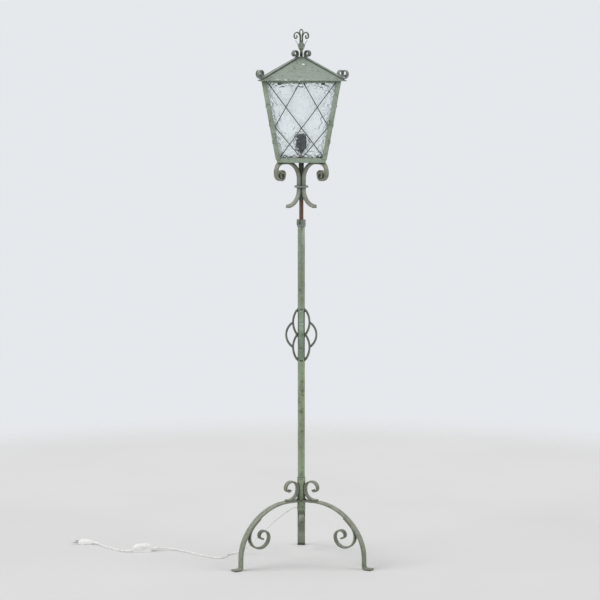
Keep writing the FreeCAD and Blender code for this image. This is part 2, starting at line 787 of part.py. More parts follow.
def make_bush():
    inner = pole_radius - pole_wall - bush_inside
    length = sleeve_radius + bush_flange - inner
    body = Part.makeCylinder(bush_body_radius, length, Vector(inner, 0, cord_exit_height), Vector(1, 0, 0))
    axis = Vector(0, 0, cord_exit_height)
    flange = Part.makeCylinder(bush_flange_radius, sleeve_radius + bush_flange, axis, Vector(1, 0, 0))
    flange = flange.cut(upright(sleeve_radius, sleeve_bottom, sleeve_top))
    bore = Part.makeCylinder(cord_radius, 2 * sleeve_radius, axis, Vector(1, 0, 0))
    bush = body.fuse(single(flange)).removeSplitter().cut(bore)
    write("cord_bush", turned(bush, cord_azimuth))


def make_cord(name, points, radius):
    edges, radii = rounded_route(points)
    tube = piped(edges, radius)
    length = sum(edge.Length for edge in edges)
    ratio = tube.Volume / (math.pi * radius ** 2 * length)
    runs = [round((b - a).Length, 1) for a, b in zip(points, points[1:])]
    print(name, "length", round(length, 1), "volume ratio", round(ratio, 4), "smallest radius",
          round(min(radii), 1), "radii", [round(r) for r in radii], "runs", runs)
    write(name, tube)


# A point in the frame of a piece that lies on the floor, turned by its azimuth
def on_floor(place, azimuth, x, y, z):
    return place + turned(Part.Vertex(x, y, z), azimuth).Point


def switch_point(x, z):
    return on_floor(switch_centre, switch_azimuth, x, 0, z)


def make_leads():
    end = switch_length / 2
    lead = [cord_exit, cord_exit + cord_side * exit_run]
    lead += [cord_side * reach + UP * (share * cord_exit_height) for reach, share in hanging_points]
    lead += [Vector(*point) for point in lead_points]
    lead += [switch_point(-end - entry_run, switch_entry_high), switch_point(-end, switch_entry_high)]
    make_cord("cord_lead", lead, cord_radius)
    tail = [switch_point(end + x, switch_entry_low) for x in (0, tail_run)]
    tail += [Vector(*point) for point in tail_points]
    tail += [on_floor(plug_rear, plug_azimuth, x, 0, plug_height / 2) for x in (-plug_run, 0)]
    make_cord("cord_tail", tail, cord_radius)


# The flex inside the post starts at the lead's end in the bush and turns up; the one inside the rod
# runs on to the lamp holder and rides with the rod.
def make_flexes():
    start = sleeve_radius + bush_flange
    bend_start = pole_radius - pole_wall - bush_inside
    offset = flex_bend - bend_start
    sway = math.degrees(math.acos(1 - offset / (2 * flex_sway)))
    sway_height = 2 * flex_sway * math.sin(math.radians(sway))
    last = rod_bottom - cord_exit_height - flex_bend - flex_straight - sway_height
    moves = [(start - bend_start, 0), (flex_bend, -90), (flex_straight, 0)]
    moves += [(flex_sway, -sway), (flex_sway, sway), (last, 0)]
    path = walk(Vector(start, 0, cord_exit_height), 180, moves)
    write("pole_flex", turned(bent_wire(path, cord_radius), cord_azimuth))
    flex_top = holder_bottom + holder_cap_height + insulator_height - contact_depth
    write("rod_flex", upright(cord_radius, rod_bottom + flex_travel, flex_top))


def placed(shape, azimuth, place):
    copy = turned(shape, azimuth)
    copy.translate(place)
    return copy


# Seen from above, both shells narrow towards the plug; seen from the side, the upper one also drops
def make_switch():
    half = switch_length / 2
    wide = switch_width / 2
    tip = switch_tip_width / 2
    shoulder = half - switch_taper
    plan = [(-half, -wide), (shoulder, -wide), (half, -tip), (half, tip), (shoulder, wide), (-half, wide)]
    outline = Part.Face(Part.makePolygon([Vector(x, y, 0) for x, y in plan + plan[:1]]))
    lower = outline.extrude(UP * switch_split)
    crest = Vector(shoulder, 0, switch_height)
    low = Vector(half, 0, switch_tip_height)
    bulge = (crest + low) / 2 + UP * switch_tip_bulge
    corners = [low, Vector(half, 0, switch_split), Vector(-half, 0, switch_split),
               Vector(-half, 0, switch_height), crest]
    side = [Part.Arc(crest, bulge, low).toShape()] + [straight(a, b) for a, b in zip(corners, corners[1:])]
    upper = Part.Face(Part.Wire(side)).extrude(Vector(0, switch_width, 0))
    upper.translate(Vector(0, -wide, 0))
    upper = upper.common(outline.extrude(UP * switch_height))

    pivot = Vector(rocker_at, 0, switch_height - pivot_depth)
    tilt = math.radians(rocker_tilt)
    top = pivot_depth + rocker_proud
    end = top + rocker_length / 2 * math.tan(tilt)
    reach = rocker_length / 2 * math.cos(tilt) + end * math.sin(tilt) + body_gap
    depth = rocker_drop * math.cos(tilt) + rocker_foot / 2 * math.sin(tilt) + body_gap
    side = [(-rocker_length / 2, end), (0, top), (rocker_length / 2, end), (rocker_foot / 2, -rocker_drop),
            (-rocker_foot / 2, -rocker_drop)]
    rocker = Part.Face(Part.makePolygon([Vector(x, 0, z) for x, z in side + side[:1]]))
    rocker = rocker.extrude(Vector(0, rocker_width, 0))
    rocker.translate(Vector(0, -rocker_width / 2, 0))
    axle_length = rocker_width + 2 * (body_gap + axle_reach)
    axle = Part.makeCylinder(axle_radius, axle_length, Vector(0, -axle_length / 2, 0), Vector(0, 1, 0))
    rocker = rocker.fuse(axle).removeSplitter()
    rocker.rotate(ORIGIN, Vector(0, 1, 0), rocker_tilt)
    rocker.translate(pivot)
    pocket_width = rocker_width + 2 * body_gap
    pocket = Part.makeBox(2 * reach, pocket_width, depth + pivot_depth + spare)
    pocket.translate(pivot - Vector(reach, pocket_width / 2, depth))
    hole_length = axle_length + 2 * body_gap
    hole = Part.makeCylinder(axle_radius + running_clearance, hole_length, Vector(0, -hole_length / 2, 0),
                             Vector(0, 1, 0))
    hole.translate(pivot)
    upper = upper.cut(pocket).cut(hole)
    write("switch_lower_shell", placed(lower, switch_azimuth, switch_centre))
    write("switch_upper_shell", placed(upper, switch_azimuth, switch_centre))
    write("switch_rocker", placed(rocker, switch_azimuth, switch_centre))
    hinge = on_floor(switch_centre, switch_azimuth, pivot.x, 0, pivot.z)
    print("rocker hinge", [round(value, 2) for value in hinge])


def make_plug():
    rear = plug_rear_width / 2
    face = plug_face_width / 2
    half = [(0, -rear), (plug_waist, -rear - plug_waist_flare), (plug_grip, -face), (plug_length, -face)]
    corners = half + [(x, -y) for x, y in reversed(half)]
    outline = Part.makePolygon([Vector(x, y, 0) for x, y in corners + corners[:1]])
    write("plug_body", placed(Part.Face(outline).extrude(UP * plug_height), plug_azimuth, plug_rear))
    pins = []
    for side in (-1, 1):
        centre = Vector(plug_length, side * pin_spacing / 2, plug_height / 2)
        pin = Part.makeCylinder(pin_radius, pin_length, centre, Vector(1, 0, 0))
        pins.append(placed(pin, plug_azimuth, plug_rear))
    write("plug_pins", *pins)


os.makedirs("parts", exist_ok=True)
make_legs()
make_inner_scrolls()
make_top_scrolls()
make_post()
make_cage()
make_collar()
make_clamp_screw()
make_rod()
make_holder()
make_brackets()
make_box_frame()
make_lattices()
make_glass()
make_roof()
make_finial()
make_bush()
make_flexes()
make_leads()
make_switch()
make_plug()
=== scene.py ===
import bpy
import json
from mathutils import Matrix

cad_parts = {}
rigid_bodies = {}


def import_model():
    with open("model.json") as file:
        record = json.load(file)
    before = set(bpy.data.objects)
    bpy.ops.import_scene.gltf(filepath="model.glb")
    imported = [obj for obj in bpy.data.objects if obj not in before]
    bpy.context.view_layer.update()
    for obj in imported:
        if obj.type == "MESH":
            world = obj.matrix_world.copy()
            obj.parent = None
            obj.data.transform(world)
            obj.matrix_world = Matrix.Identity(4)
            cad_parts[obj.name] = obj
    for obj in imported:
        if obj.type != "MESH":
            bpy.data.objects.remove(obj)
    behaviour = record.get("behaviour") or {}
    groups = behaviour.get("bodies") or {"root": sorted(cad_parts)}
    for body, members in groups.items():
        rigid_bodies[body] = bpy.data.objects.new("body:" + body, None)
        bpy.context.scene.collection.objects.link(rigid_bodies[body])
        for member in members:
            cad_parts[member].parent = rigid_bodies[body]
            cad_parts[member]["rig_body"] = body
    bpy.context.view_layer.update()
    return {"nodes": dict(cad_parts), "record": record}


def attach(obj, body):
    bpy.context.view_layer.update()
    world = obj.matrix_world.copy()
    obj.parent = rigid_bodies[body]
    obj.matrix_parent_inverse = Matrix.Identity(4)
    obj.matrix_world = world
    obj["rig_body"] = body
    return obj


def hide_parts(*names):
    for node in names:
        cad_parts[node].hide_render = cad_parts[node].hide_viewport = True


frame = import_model()

import json
import math

import bmesh
import bpy
from mathutils import Matrix, Vector, noise

nodes = frame["nodes"]
bodyOf = {name: node["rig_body"] for name, node in nodes.items()}
slotOf = {row["node"]: row["material_slot"] for row in frame["record"]["subparts"]}
print("frame loaded:", len(nodes), "nodes")

# How solids are read and shaded: distances in m, angles in degrees, and areas as a share
meshLook = {"joinWithin": 1e-5, "flatWithin": 0.6, "roundFrom": 32, "creaseFrom": 40, "fineCreaseFrom": 50,
            "areaMayChange": 0.001, "roundSteps": 2}

# The photograph's camera, in metres and degrees
photoCamera = {"distance": 6.15, "height": 1.51, "pitch": 6.47, "focalPixels": 2034, "axisPixel": 301.3,
               "imagePixels": 600}


def makeCamera(camera):
    data = bpy.data.cameras.new("photoCamera")
    data.sensor_width = 36
    data.lens = data.sensor_width * camera["focalPixels"] / camera["imagePixels"]
    data.shift_x = (camera["imagePixels"] / 2 - camera["axisPixel"]) / camera["imagePixels"]
    made = bpy.data.objects.new("photoCamera", data)
    made.location = (0, -camera["distance"], camera["height"])
    made.rotation_euler = (math.radians(90 - camera["pitch"]), 0, 0)
    bpy.context.scene.collection.objects.link(made)
    bpy.context.scene.camera = made


makeCamera(photoCamera)
bpy.context.scene.view_settings.view_transform = "Standard"

# The mains cord in two lengths: from the pole to the switch, and from the switch to the plug.
# Control points in mm
cordRadius = 2.5
cords = {
    "mainsLead": {
        "node": "cord_lead", "length": 0.619, "farEnd": "fitting",
        "pieces": ("switch_lower_shell", "switch_upper_shell", "switch_rocker"),
        "points": [(-13.617, 6.641, 169), (-23.773, 11.595, 169), (-39.547, 19.288, 156.325),
                   (-71.904, 35.070, 130.975), (-120.438, 58.742, 79.937), (-154.593, 75.400, 41.574),
                   (-175.714, 85.702, 20.449), (-189.646, 92.496, 9.464), (-204, 97.5, 4.2),
                   (-217.5, 95, 2.5),
                   (-228, 85, 2.5), (-233.5, 70, 2.5), (-236.5, 54, 2.5), (-243, 40.5, 2.5),
                   (-256.5, 34, 2.5),
                   (-273, 40, 2.5), (-295, 58, 2.5), (-327, 86, 2.5), (-361, 119, 2.5), (-390, 140, 3.4),
                   (-418, 147, 6), (-441, 144, 8.5), (-458.285, 138.855, 10), (-475.787, 134.653, 10)]},
    "mainsTail": {
        "node": "cord_tail", "length": 0.181, "farEnd": "plug", "pieces": ("plug_body", "plug_pins"),
        "points": [(-531.213, 121.347, 6), (-543.464, 118.405, 6), (-558, 121, 3.4), (-570, 132, 2.5),
                   (-588, 151, 2.5), (-608, 171, 2.5), (-627, 191, 2.5), (-640, 207, 4),
                   (-654.091, 222.273, 6.85), (-668, 226, 6.85)]},
}


def makeCord(name, points):
    curve = bpy.data.curves.new(name, "CURVE")
    curve.dimensions = "3D"
    spline = curve.splines.new("NURBS")
    spline.points.add(len(points) - 1)
    for point, place in zip(spline.points, points):
        point.co = (*(along / 1000 for along in place), 1)
    spline.order_u = 3
    spline.use_endpoint_u = True
    spline.resolution_u = 12
    cord = bpy.data.objects.new(name, curve)
    bpy.context.scene.collection.objects.link(cord)
    return cord


def routeOf(cord):
    line = bpy.data.meshes.new_from_object(cord)
    return [vertex.co.copy() for vertex in line.vertices]


madeCords = {}
for name, look in cords.items():
    cord = makeCord(name, look["points"])
    look["route"] = routeOf(cord)
    cord.data.bevel_depth = cordRadius / 1000
    cord.data.bevel_resolution = 4
    cord.data.use_fill_caps = True
    madeCords[name] = cord
print("cords laid:", {name: len(look["route"]) for name, look in cords.items()})


def newGroup(name, inputs, outputs):
    tree = bpy.data.node_groups.new(name, "ShaderNodeTree")
    for label, kind, value in inputs:
        socket = tree.interface.new_socket(name=label, in_out="INPUT", socket_type="NodeSocket" + kind)
        socket.default_value = value
    for label, kind in outputs:
        tree.interface.new_socket(name=label, in_out="OUTPUT", socket_type="NodeSocket" + kind)
    return Bench(tree), tree.nodes.new("NodeGroupInput").outputs, tree.nodes.new("NodeGroupOutput").inputs


# A bench for wiring shader nodes: each call adds one node and gives back its output
class Bench:
    def __init__(self, tree):
        self.tree = tree
        self.nodes = tree.nodes

    def plug(self, socket, value):
        if isinstance(value, bpy.types.NodeSocket):
            self.tree.links.new(value, socket)
        elif value is not None:
            socket.default_value = value

    def add(self, kind, output=0, **inputs):
        node = self.nodes.new(kind)
        for label, value in inputs.items():
            self.plug(node.inputs[label.replace("_", " ")], value)
        return node.outputs[output]

    def math(self, operation, first, second=0.0, clamp=False):
        node = self.nodes.new("ShaderNodeMath")
        node.operation = operation
        node.use_clamp = clamp
        self.plug(node.inputs[0], first)
        self.plug(node.inputs[1], second)
        return node.outputs[0]

    def vector(self, operation, first, second, third=None, output=0):
        node = self.nodes.new("ShaderNodeVectorMath")
        node.operation = operation
        self.plug(node.inputs[0], first)
        self.plug(node.inputs[1], second)
        self.plug(node.inputs[2], third)
        return node.outputs[output]

    def mix(self, share, first, second, blend="MIX"):
        node = self.nodes.new("ShaderNodeMix")
        node.data_type = "RGBA"
        node.blend_type = blend
        self.plug(node.inputs[0], share)
        self.plug(node.inputs[6], first)
        self.plug(node.inputs[7], second)
        return node.outputs[2]

    def span(self, value, low, high, toLow=0.0, toHigh=1.0):
        node = self.nodes.new("ShaderNodeMapRange")
        node.interpolation_type = "SMOOTHSTEP"
        for label, number in (("From Min", low), ("From Max", high), ("To Min", toLow), ("To Max", toHigh)):
            self.plug(node.inputs[label], number)
        self.plug(node.inputs["Value"], value)
        return node.outputs[0]

    def ramp(self, value, stops):
        node = self.nodes.new("ShaderNodeValToRGB")
        self.plug(node.inputs[0], value)
        elements = node.color_ramp.elements
        while len(elements) < len(stops):
            elements.new(0.5)
        for element, (place, colour) in zip(elements, stops):
            element.position = place
            element.color = (*colour, 1)
        return node.outputs[0]

    def noise(self, place, scale, detail=3.0, roughness=0.6, stretch=None):
        if stretch:
            place = self.add("ShaderNodeMapping", Vector=place, Scale=stretch)
        return self.add("ShaderNodeTexNoise", Vector=place, Scale=scale, Detail=detail, Roughness=roughness)

    def bump(self, height, strength, distance):
        return self.add("ShaderNodeBump", Height=height, Strength=strength, Distance=distance)

    def group(self, tree, **inputs):
        node = self.nodes.new("ShaderNodeGroup")
        node.node_tree = tree
        for label, value in inputs.items():
            self.plug(node.inputs[label.replace("_", " ")], value)
        return node.outputs


# Edge wear with painted shade along the edges: the scale of its breaks, how far a surface turns where it
# shows, and how deep the painted shade and dirt in hollows reach in m
wearAndShadeLook = {"radius": 0.0028, "breaks": 120, "turns": (0.004, 0.09), "dirtReach": 0.02}


# Edges: where a corner has been knocked, darkened as wear and as painted shade along the edges; Hollows:
# painted shade in corners and between parts, from ambient occlusion, with the dirt that gathers there
def edgeWearAndShadeGroup():
    bench, given, out = newGroup("edgeWear", [("Place", "Vector", (0, 0, 0)),
                                              ("Radius", "Float", wearAndShadeLook["radius"]),
                                              ("Amount", "Float", 0.6)],
                                 [("Edges", "Float"), ("Hollows", "Float")])
    rounded = bench.add("ShaderNodeBevel", Radius=given["Radius"])
    flat = bench.add("ShaderNodeNewGeometry", "Normal")
    turned = bench.math("SUBTRACT", 1.0, bench.vector("DOT_PRODUCT", rounded, flat, output="Value"))
    broken = bench.span(bench.noise(given["Place"], wearAndShadeLook["breaks"], 5, 0.7), 0.28, 0.52)
    # Darkened edges: worn paint, and painted shade along the edges
    wornAndShaded = bench.math("MULTIPLY", bench.span(turned, *wearAndShadeLook["turns"]), broken)
    # Ambient occlusion marks the hollows for painted shade and dirt
    hollowShade = bench.add("ShaderNodeAmbientOcclusion", "AO", Distance=wearAndShadeLook["dirtReach"])
    bench.plug(out["Edges"], bench.math("MULTIPLY", wornAndShaded, given["Amount"]))
    bench.plug(out["Hollows"], bench.span(hollowShade, 0.25, 0.95, 1.0, 0.0))
    return bench.tree


# Noise scales per m, and how much each layer covers what lies under it
agedLook = {"middleScale": 65, "fineScale": 420, "speckScale": 150.0, "bloom": 0.55, "stain": 0.6,
            "dirt": 0.85,
            "grain": 0.45, "roughness": (0.42, 0.66)}


# Old brushed paint: broad patches, paler bloom, stains, chips through to the dark metal, darkened edges
# that are wear and painted shade, painted shade and dirt in the hollows, and grain
def agedPaintGroup():
    bench, given, out = newGroup(
        "agedPaint",
        [("Place", "Vector", (0, 0, 0)), ("Paint", "Color", (0.2, 0.25, 0.17, 1)),
         ("Patches", "Color", (0.2, 0.21, 0.15, 1)), ("Bloom", "Color", (0.3, 0.4, 0.31, 1)),
         ("Bare", "Color", (0.06, 0.055, 0.04, 1)), ("Patch scale", "Float", 12.0), ("Chips", "Float", 0.5),
         ("Edges", "Float", 0.0), ("Hollows", "Float", 0.0)],
        [("Color", "Color"), ("Roughness", "Float"), ("Height", "Float")])
    place = given["Place"]
    broad = bench.noise(place, given["Patch scale"], 4, 0.62)
    middle = bench.noise(place, agedLook["middleScale"], 4, 0.65)
    fine = bench.noise(place, agedLook["fineScale"], 3, 0.6)
    patched = bench.mix(bench.span(broad, 0.4, 0.62), given["Paint"], given["Patches"])
    bloomed = bench.mix(bench.span(middle, 0.55, 0.7, 0.0, agedLook["bloom"]), patched, given["Bloom"])
    stained = bench.mix(bench.span(middle, 0.3, 0.48, agedLook["stain"], 0.0), bloomed, given["Bare"])
    dots = bench.add("ShaderNodeTexVoronoi", Vector=place, Scale=agedLook["speckScale"])
    speck = bench.span(dots, 0.05, 0.16, 1.0, 0.0)
    chips = bench.math("MULTIPLY", bench.math("MULTIPLY", speck, bench.span(broad, 0.44, 0.58)),
                       given["Chips"])
    chipped = bench.mix(bench.math("MAXIMUM", chips, given["Edges"]), stained, given["Bare"])
    # The hollows are darkened towards the bare metal colour: painted shade in corners and between parts,
    # and dirt
    shadedAndDirty = bench.mix(bench.math("MULTIPLY", given["Hollows"], agedLook["dirt"]), chipped, given["Bare"])
    grain = bench.ramp(fine, [(0.3, (0.25, 0.25, 0.25)), (0.7, (0.75, 0.75, 0.75))])
    bench.plug(out["Color"], bench.mix(agedLook["grain"], shadedAndDirty, grain, "OVERLAY"))
    bench.plug(out["Roughness"], bench.span(middle, 0.3, 0.7, *agedLook["roughness"]))
    layers = bench.math("ADD", bench.math("MULTIPLY", middle, 0.6), bench.math("MULTIPLY", fine, 0.14))
    lost = bench.math("MULTIPLY", bench.math("ADD", chips, given["Edges"]), 0.4)
    bench.plug(out["Height"], bench.math("SUBTRACT", layers, lost))
    return bench.tree


# Pale dust on what faces up
def dustGroup():
    bench, given, out = newGroup("dust", [("Place", "Vector", (0, 0, 0)),
                                          ("Color", "Color", (0.5, 0.5, 0.5, 1)),
                                          ("Amount", "Float", 0.3)], [("Color", "Color")])
    facing = bench.add("ShaderNodeSeparateXYZ", "Z", Vector=bench.add("ShaderNodeNewGeometry", "Normal"))
    lying = bench.math("MULTIPLY", bench.span(facing, 0.2, 0.9), given["Amount"])
    mottled = bench.math("MULTIPLY", lying, bench.span(bench.noise(given["Place"], 90, 4), 0.3, 0.65))
    bench.plug(out["Color"], bench.mix(mottled, given["Color"], (0.52, 0.53, 0.49, 1)))
    return bench.tree


edgeWear = edgeWearAndShadeGroup()
agedPaint = agedPaintGroup()
dust = dustGroup()
print("shared groups made")


def newMaterial(name, roughness=0.5, metallic=0.0):
    material = bpy.data.materials.new(name)
    material.use_nodes = True
    tree = material.node_tree
    tree.nodes.clear()
    shader = tree.nodes.new("ShaderNodeBsdfPrincipled")
    out = tree.nodes.new("ShaderNodeOutputMaterial")
    tree.links.new(shader.outputs[0], out.inputs[0])
    shader.inputs["Roughness"].default_value = roughness
    shader.inputs["Metallic"].default_value = metallic
    return material, Bench(tree), shader.inputs


# Paint on iron, in linear colour. "bands" changes it with height: (height in m, colour), with edges as
# ragged as "ragged" says; "gloss" is taken off the roughness
paints = {
    "basePaint": {"paint": (0.21, 0.238, 0.172), "patches": (0.165, 0.178, 0.13),
                  "bloom": (0.28, 0.33, 0.255),
                  "bare": (0.04, 0.04, 0.028), "patchScale": 13.0, "chips": 0.8, "wear": 1.0},
    "polePaint": {"paint": (0.23, 0.30, 0.19), "patches": (0.20, 0.235, 0.15), "bloom": (0.29, 0.38, 0.265),
                  "bare": (0.05, 0.055, 0.035), "patchScale": 22.0, "chips": 1.0, "wear": 0.6, "gloss": 0.2,
                  "ragged": 0.12,
                  "bands": [(0.20, (0.26, 0.37, 0.225)), (0.42, (0.255, 0.31, 0.185)),
                            (0.64, (0.28, 0.36, 0.24)),
                            (0.80, (0.235, 0.285, 0.20)), (0.87, (0.18, 0.215, 0.155)),
                            (0.97, (0.21, 0.26, 0.185)),
                            (1.02, (0.36, 0.45, 0.37))]},
    "collarPaint": {"paint": (0.27, 0.33, 0.27), "patches": (0.17, 0.20, 0.16), "bloom": (0.38, 0.44, 0.38),
                    "bare": (0.05, 0.05, 0.04), "patchScale": 30.0, "chips": 0.6, "wear": 0.9},
    # On the side bars this paint is a darker, shaded copy of the front and rear bars' paint: painted shade
    "ornamentPaint": {"paint": (0.18, 0.21, 0.165), "patches": (0.13, 0.15, 0.115),
                      "bloom": (0.27, 0.32, 0.26),
                      "bare": (0.05, 0.055, 0.04), "patchScale": 20.0, "chips": 0.7, "wear": 0.8},
    # The front and rear bars' paint is a paler, lit copy of the side bars' paint: painted light
    "frontPaint": {"paint": (0.25, 0.33, 0.235), "patches": (0.20, 0.255, 0.18),
                   "bloom": (0.31, 0.40, 0.31),
                   "bare": (0.045, 0.05, 0.035), "patchScale": 24.0, "chips": 0.8, "wear": 1.0},
    "lanternPaint": {"paint": (0.36, 0.44, 0.35), "patches": (0.29, 0.35, 0.255),
                     "bloom": (0.45, 0.53, 0.45),
                     "bare": (0.055, 0.06, 0.045), "patchScale": 16.0, "chips": 0.7, "wear": 0.7},
    "strapPaint": {"paint": (0.28, 0.33, 0.28), "patches": (0.17, 0.20, 0.17), "bloom": (0.38, 0.44, 0.38),
                   "bare": (0.035, 0.04, 0.035), "patchScale": 26.0, "chips": 0.7, "wear": 0.9,
                   "ragged": 0.02,
                   "bands": [(1.48, (0.28, 0.33, 0.28)), (1.53, (0.26, 0.31, 0.26)),
                             (1.547, (0.13, 0.155, 0.135)),
                             (1.57, (0.12, 0.145, 0.125))]},
    "bracketPaint": {"paint": (0.26, 0.295, 0.235), "patches": (0.21, 0.22, 0.16),
                     "bloom": (0.36, 0.42, 0.35),
                     "bare": (0.05, 0.05, 0.035), "patchScale": 18.0, "chips": 0.6, "wear": 0.8},
    # The socket's very dark green is its paint, darkened further by painted shade between the brackets
    "socketPaint": {"paint": (0.07, 0.10, 0.07), "patches": (0.11, 0.15, 0.10), "bloom": (0.16, 0.21, 0.15),
                    "bare": (0.03, 0.03, 0.025), "patchScale": 24.0, "chips": 0.4, "wear": 0.6},
    "wirePaint": {"paint": (0.09, 0.095, 0.085), "patches": (0.13, 0.14, 0.12), "bloom": (0.19, 0.21, 0.18),
                  "bare": (0.04, 0.04, 0.035), "patchScale": 30.0, "chips": 0.3, "wear": 0.2},
}


def solid(colour):
    return (*colour, 1)


def makePaint(name, look):
    material, bench, shader = newMaterial(name)
    place = bench.add("ShaderNodeTexCoord", "Object")
    # Edges and hollows are darkened: wear and dirt, with painted shade along the edges and in the hollows
    wornAndShaded = bench.group(edgeWear, Place=place, Amount=look["wear"])
    paint = solid(look["paint"])
    if "bands" in look:
        low, high = look["bands"][0][0], look["bands"][-1][0]
        height = bench.add("ShaderNodeSeparateXYZ", "Z", Vector=place)
        ragged = bench.math("ADD", height, bench.math("MULTIPLY", bench.noise(place, 18), look["ragged"]))
        above = bench.math("SUBTRACT", ragged, low + look["ragged"] / 2)
        level = bench.math("DIVIDE", above, high - low, clamp=True)
        paint = bench.ramp(level, [((z - low) / (high - low), colour) for z, colour in look["bands"]])
    aged = bench.group(agedPaint, Place=place, Paint=paint, Patches=solid(look["patches"]),
                       Bloom=solid(look["bloom"]), Bare=solid(look["bare"]), Patch_scale=look["patchScale"],
                       Chips=look["chips"], Edges=wornAndShaded["Edges"], Hollows=wornAndShaded["Hollows"])
    dusted = bench.group(dust, Place=place, Color=aged["Color"], Amount=0.3)
    bench.plug(shader["Base Color"], dusted["Color"])
    bench.plug(shader["Roughness"], bench.math("SUBTRACT", aged["Roughness"], look.get("gloss", 0.0)))
    bench.plug(shader["Normal"], bench.bump(aged["Height"], 0.45, 0.0012))
    return material


materials = {name: makePaint(name, look) for name, look in paints.items()}

# The roof's sheet: flat grey-green paint that flakes in small pale flecks along the eave
roofLook = {"paint": (0.28, 0.33, 0.285), "patches": (0.255, 0.30, 0.245), "bloom": (0.33, 0.385, 0.32),
            "bare": (0.07, 0.075, 0.06), "fleck": (0.78, 0.80, 0.76), "flecksBelow": 1.497, "eave": 1.478,
            "spot": (0.006, -0.046, 1.5252), "spotRadius": 0.0045, "fleckScale": 260}


def makeRoofPaint(look):
    material, bench, shader = newMaterial("roofPaint")
    place = bench.add("ShaderNodeTexCoord", "Object")
    # Edges and hollows are darkened: wear and dirt, with painted shade along the edges and in the hollows
    wornAndShaded = bench.group(edgeWear, Place=place, Amount=0.8)
    aged = bench.group(agedPaint, Place=place, Paint=solid(look["paint"]), Patches=solid(look["patches"]),
                       Bloom=solid(look["bloom"]), Bare=solid(look["bare"]), Patch_scale=9.0, Chips=0.35,
                       Edges=wornAndShaded["Edges"], Hollows=wornAndShaded["Hollows"])
    height = bench.add("ShaderNodeSeparateXYZ", "Z", Vector=place)
    low = bench.span(height, look["eave"], look["flecksBelow"], 1.0, 0.0)
    gate = bench.span(bench.noise(place, 60, 4, 0.7), 0.56, 0.62)
    torn = bench.span(bench.noise(place, look["fleckScale"]), 0.5, 0.56)
    fleck = bench.math("MULTIPLY", bench.math("MULTIPLY", low, gate), torn)
    away = bench.vector("DISTANCE", place, look["spot"], output="Value")
    ragged = bench.math("ADD", away, bench.math("MULTIPLY", bench.noise(place, 300), 0.005))
    spot = bench.span(ragged, look["spotRadius"] + 0.001, look["spotRadius"] + 0.003, 1.0, 0.0)
    pale = bench.math("MAXIMUM", fleck, spot)
    bench.plug(shader["Base Color"], bench.mix(pale, aged["Color"], solid(look["fleck"])))
    bench.plug(shader["Roughness"], aged["Roughness"])
    relief = bench.math("SUBTRACT", aged["Height"], bench.math("MULTIPLY", pale, 0.5))
    bench.plug(shader["Normal"], bench.bump(relief, 0.35, 0.001))
    return material


# Rust in streaks along the rod: (noise value, colour)
rustLook = {"metallic": 0.35, "streakScale": 60, "stretch": (1, 1, 0.12), "pitScale": 300,
            "pits": (0.16, 0.07, 0.03),
            "streaks": [(0.25, (0.045, 0.03, 0.022)), (0.45, (0.12, 0.075, 0.045)),
                        (0.6, (0.20, 0.145, 0.10)),
                        (0.8, (0.30, 0.27, 0.22))]}


def makeRust(look):
    material, bench, shader = newMaterial("rustyRod", metallic=look["metallic"])
    place = bench.add("ShaderNodeTexCoord", "Object")
    streaks = bench.noise(place, look["streakScale"], 5, 0.7, stretch=look["stretch"])
    pits = bench.noise(place, look["pitScale"], 4, 0.7)
    colour = bench.ramp(streaks, look["streaks"])
    bench.plug(shader["Base Color"], bench.mix(bench.span(pits, 0.55, 0.7), colour, solid(look["pits"])))
    bench.plug(shader["Roughness"], bench.span(streaks, 0.3, 0.75, 0.8, 0.5))
    bench.plug(shader["Normal"], bench.bump(pits, 0.5, 0.0006))
    return material


# Old rolled glass: close dimples, and patchy dark bands at the top and bottom: painted shadow under the
# eave in the top band, and dirt in both bands
glassLook = {"tint": (0.96, 0.985, 0.985), "dimples": 74.0, "strength": 1.0, "dimpleDepth": 0.0034,
             "dirt": (0.30, 0.34, 0.33), "low": 1.2470, "high": 1.472, "warp": 0.02}


def makeGlass(look):
    material, bench, shader = newMaterial("rolledGlass", roughness=0.01)
    shader["Transmission Weight"].default_value = 1.0
    shader["IOR"].default_value = 1.45
    place = bench.add("ShaderNodeTexCoord", "Object")
    wobble = bench.add("ShaderNodeTexNoise", "Color", Vector=place, Scale=38.0, Detail=2.0)
    warped = bench.vector("MULTIPLY_ADD", wobble, (look["warp"],) * 3, place)
    cells = bench.nodes.new("ShaderNodeTexVoronoi")
    cells.feature = "SMOOTH_F1"
    cells.inputs["Scale"].default_value = look["dimples"]
    cells.inputs["Smoothness"].default_value = 0.15
    bench.plug(cells.inputs["Vector"], warped)
    height = bench.add("ShaderNodeSeparateXYZ", "Z", Vector=place)
    # Dark bands at the foot and head: the head is painted shadow under the eave, and both are patchy dirt
    foot = bench.span(height, look["low"], look["low"] + 0.018, 1.0, 0.0)
    head = bench.span(height, look["high"] - 0.022, look["high"], 0.0, 1.0)
    patchy = bench.noise(place, 75, 5, 0.7)
    dirt = bench.math("MULTIPLY", bench.math("MAXIMUM", foot, head),
                      bench.span(patchy, 0.5, 0.68, 0.0, 0.7))
    film = bench.span(bench.noise(place, 22, 4, 0.65, stretch=(1, 1, 0.5)), 0.5, 0.75, 0.0, 0.06)
    shadedAndSoiled = bench.math("MAXIMUM", dirt, film)
    bench.plug(shader["Base Color"], bench.mix(shadedAndSoiled, solid(look["tint"]), solid(look["dirt"])))
    bench.plug(shader["Roughness"], bench.math("ADD", bench.math("MULTIPLY", shadedAndSoiled, 0.3), 0.012))
    relief = bench.math("ADD", cells.outputs["Distance"], bench.math("MULTIPLY", patchy, 0.3))
    bench.plug(shader["Normal"], bench.bump(relief, look["strength"], look["dimpleDepth"]))
    return material


